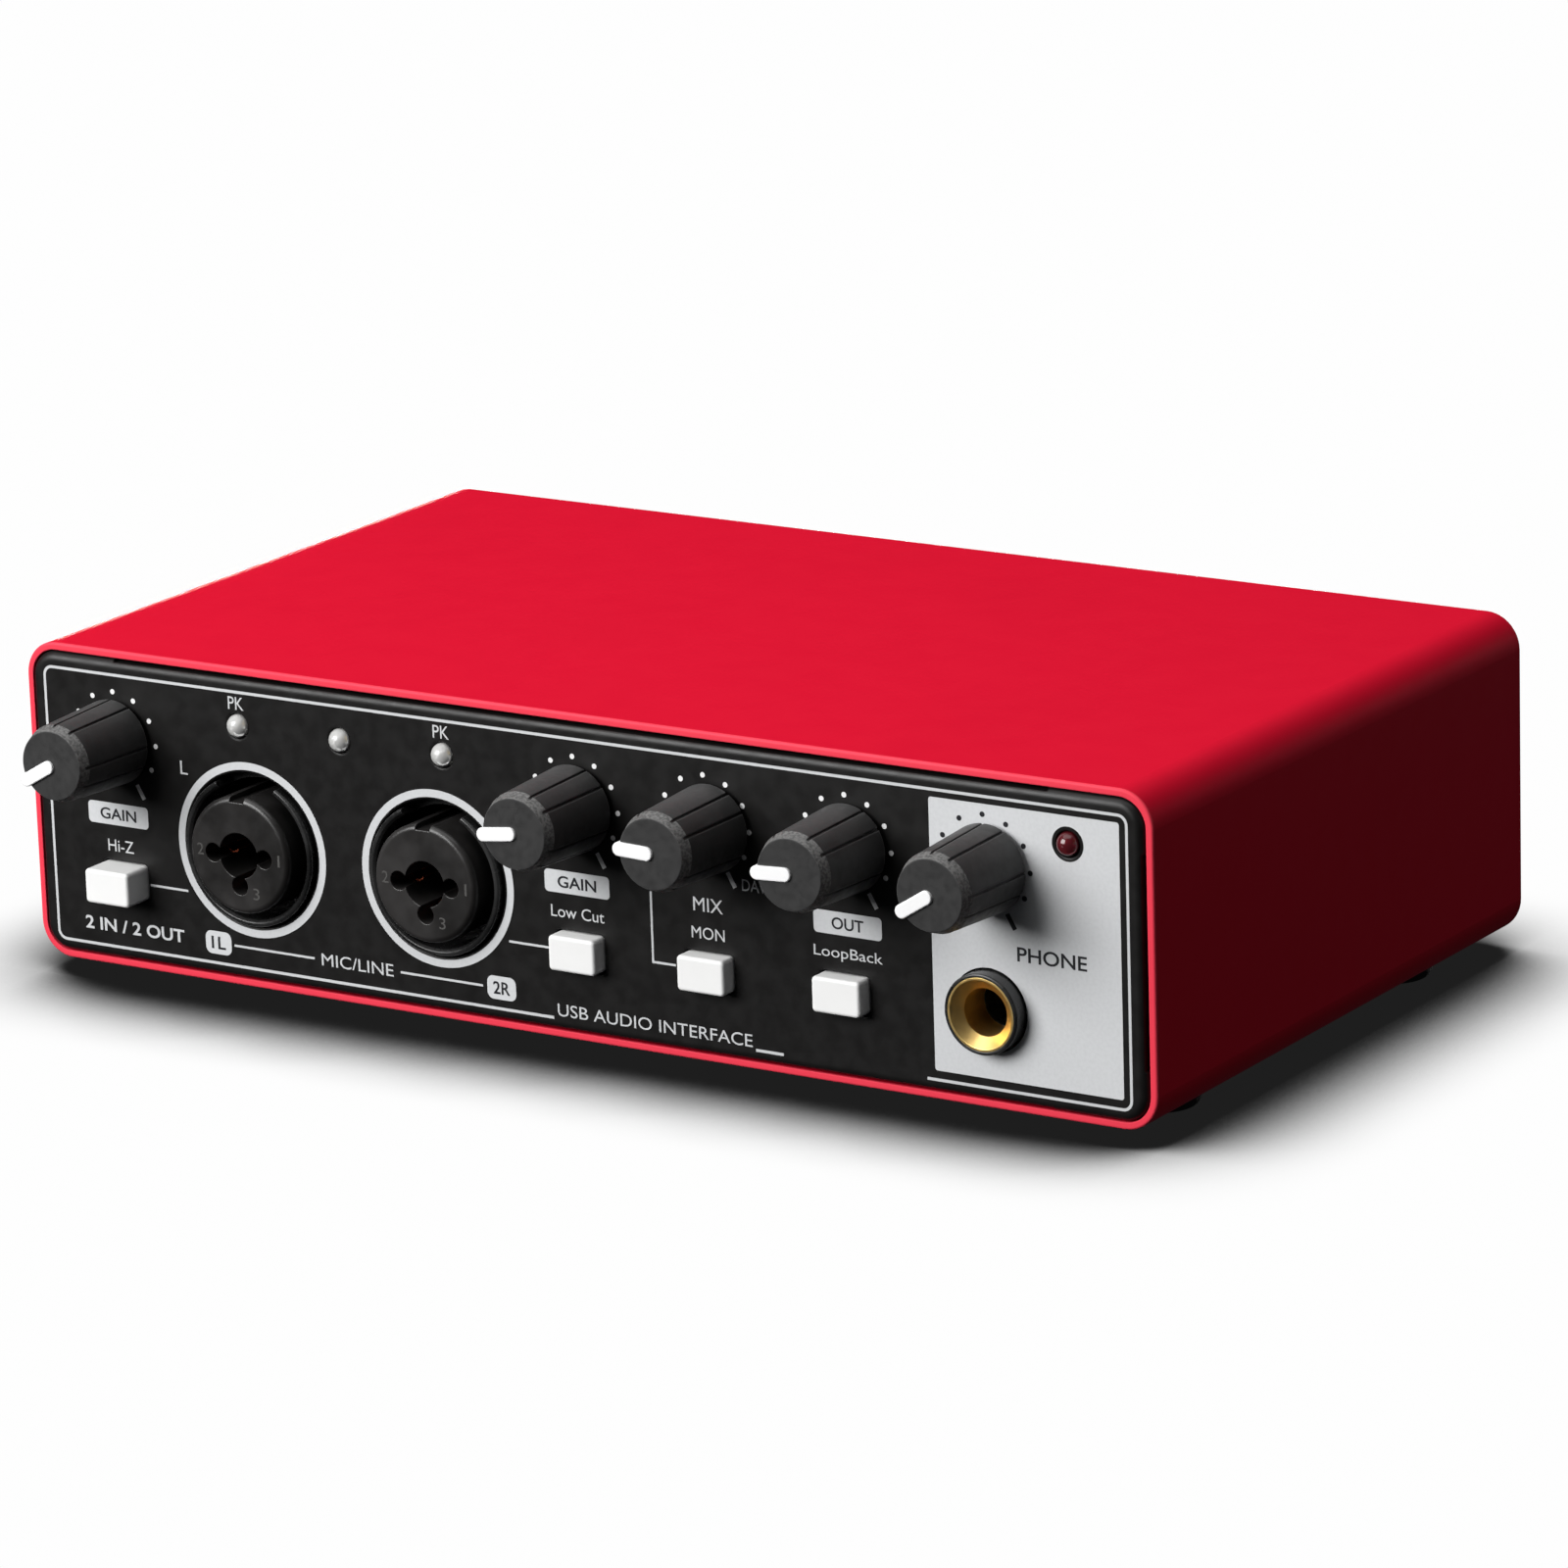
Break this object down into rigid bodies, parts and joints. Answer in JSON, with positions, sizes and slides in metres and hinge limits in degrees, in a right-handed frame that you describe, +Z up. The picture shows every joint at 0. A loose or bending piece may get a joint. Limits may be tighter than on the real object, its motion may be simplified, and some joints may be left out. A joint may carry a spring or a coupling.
{
  "type": "audio interface",
  "caption": "Desktop audio interface: red sleeve case, black front with combined sockets, tapered knobs, white push-buttons and a headphone socket.",
  "frame": {"origin": "middle of the bounding box at the underside of the feet", "axes": "+X to the right seen from the front, +Y from the front panel to the back, +Z up"},
  "size_m": [0.18, 0.1196, 0.048],
  "materials": {
    "case_red": "satin red powder coat",
    "panel_black": "fine-textured black moulding",
    "plate_black": "black painted steel",
    "foot_rubber": "soft black rubber",
    "knob_rubber": "soft-touch charcoal",
    "pointer_white": "white inlay",
    "shaft_steel": "turned shaft",
    "button_white": "white moulding",
    "plunger_grey": "grey acetal",
    "lamp_clear": "water-clear epoxy",
    "lamp_red": "red epoxy",
    "lead_tin": "tinned wire",
    "socket_black": "black glass-filled nylon",
    "insert_black": "dark grey nylon",
    "contact_bronze": "phosphor bronze",
    "gilt": "gold plate",
    "nut_steel": "nickel plate",
    "port_steel": "drawn steel shell",
    "switch_black": "black moulding",
    "button_black": "black moulding",
    "pot_metal": "plated can",
    "board_green": "green solder mask",
    "can_aluminium": "drawn can",
    "screw_black": "black zinc",
    "screw_steel": "zinc plate"
  },
  "bodies": {
    "case": {"board_header": "switch_black", "board_screws": "screw_steel", "button_switches": "switch_black", "capacitors": "can_aluminium", "chips": "switch_black", "data_socket": "port_steel", "feet": "foot_rubber", "front_board": "board_green", "front_panel": "panel_black", "input_1_contacts": "contact_bronze", "input_1_peak_lamp": "lamp_clear", "input_1_socket_housing": "socket_black", "input_1_socket_insert": "insert_black", "input_2_contacts": "contact_bronze", "input_2_peak_lamp": "lamp_clear", "input_2_socket_housing": "socket_black", "input_2_socket_insert": "insert_black", "lamp_leads": "lead_tin", "line_out_left": "socket_black", "line_out_nuts": "nut_steel", "line_out_right": "socket_black", "main_board": "board_green", "phantom_lamp": "lamp_clear", "phantom_switch": "switch_black", "phones_socket_body": "socket_black", "phones_socket_sleeve": "gilt", "potentiometers": "pot_metal", "power_lamp": "lamp_red", "rear_panel": "plate_black", "rear_screws": "screw_black", "shell": "case_red", "supply_socket": "port_steel"},
    "input_1_gain": {"input_1_gain_knob": "knob_rubber", "input_1_gain_pointer": "pointer_white", "input_1_gain_shaft": "shaft_steel"},
    "input_2_gain": {"input_2_gain_knob": "knob_rubber", "input_2_gain_pointer": "pointer_white", "input_2_gain_shaft": "shaft_steel"},
    "mix": {"mix_knob": "knob_rubber", "mix_pointer": "pointer_white", "mix_shaft": "shaft_steel"},
    "output": {"output_knob": "knob_rubber", "output_pointer": "pointer_white", "output_shaft": "shaft_steel"},
    "phones_level": {"phones_level_knob": "knob_rubber", "phones_level_pointer": "pointer_white", "phones_level_shaft": "shaft_steel"},
    "instrument_push": {"instrument_button": "button_white", "instrument_plunger": "plunger_grey"},
    "low_cut_push": {"low_cut_button": "button_white", "low_cut_plunger": "plunger_grey"},
    "monitor_push": {"monitor_button": "button_white", "monitor_plunger": "plunger_grey"},
    "loopback_push": {"loopback_button": "button_white", "loopback_plunger": "plunger_grey"},
    "phantom_push": {"phantom_button": "button_black"}
  },
  "joints": [
    {"name": "input_1_gain_turn", "type": "hinge", "parent": "case", "child": "input_1_gain", "pos_m": [-0.07472, -0.04495, 0.0353], "axis": [0, 1, 0], "range_deg": [-30, 270]},
    {"name": "input_2_gain_turn", "type": "hinge", "parent": "case", "child": "input_2_gain", "pos_m": [0.00182, -0.04495, 0.0353], "axis": [0, 1, 0], "range_deg": [-53, 247]},
    {"name": "mix_turn", "type": "hinge", "parent": "case", "child": "mix", "pos_m": [0.02338, -0.04495, 0.0353], "axis": [0, 1, 0], "range_deg": [-62, 238]},
    {"name": "output_turn", "type": "hinge", "parent": "case", "child": "output", "pos_m": [0.04468, -0.04495, 0.0353], "axis": [0, 1, 0], "range_deg": [-57, 243]},
    {"name": "phones_level_turn", "type": "hinge", "parent": "case", "child": "phones_level", "pos_m": [0.06583, -0.04495, 0.0353], "axis": [0, 1, 0], "range_deg": [-28, 272]},
    {"name": "instrument_travel", "type": "slide", "parent": "case", "child": "instrument_push", "axis": [0, 1, 0], "range_m": [0, 0.0022]},
    {"name": "low_cut_travel", "type": "slide", "parent": "case", "child": "low_cut_push", "axis": [0, 1, 0], "range_m": [-0.0022, 0]},
    {"name": "monitor_travel", "type": "slide", "parent": "case", "child": "monitor_push", "axis": [0, 1, 0], "range_m": [-0.0022, 0]},
    {"name": "loopback_travel", "type": "slide", "parent": "case", "child": "loopback_push", "axis": [0, 1, 0], "range_m": [-0.0022, 0]},
    {"name": "phantom_travel", "type": "slide", "parent": "case", "child": "phantom_push", "axis": [0, -1, 0], "range_m": [0, 0.002]}
  ]
}
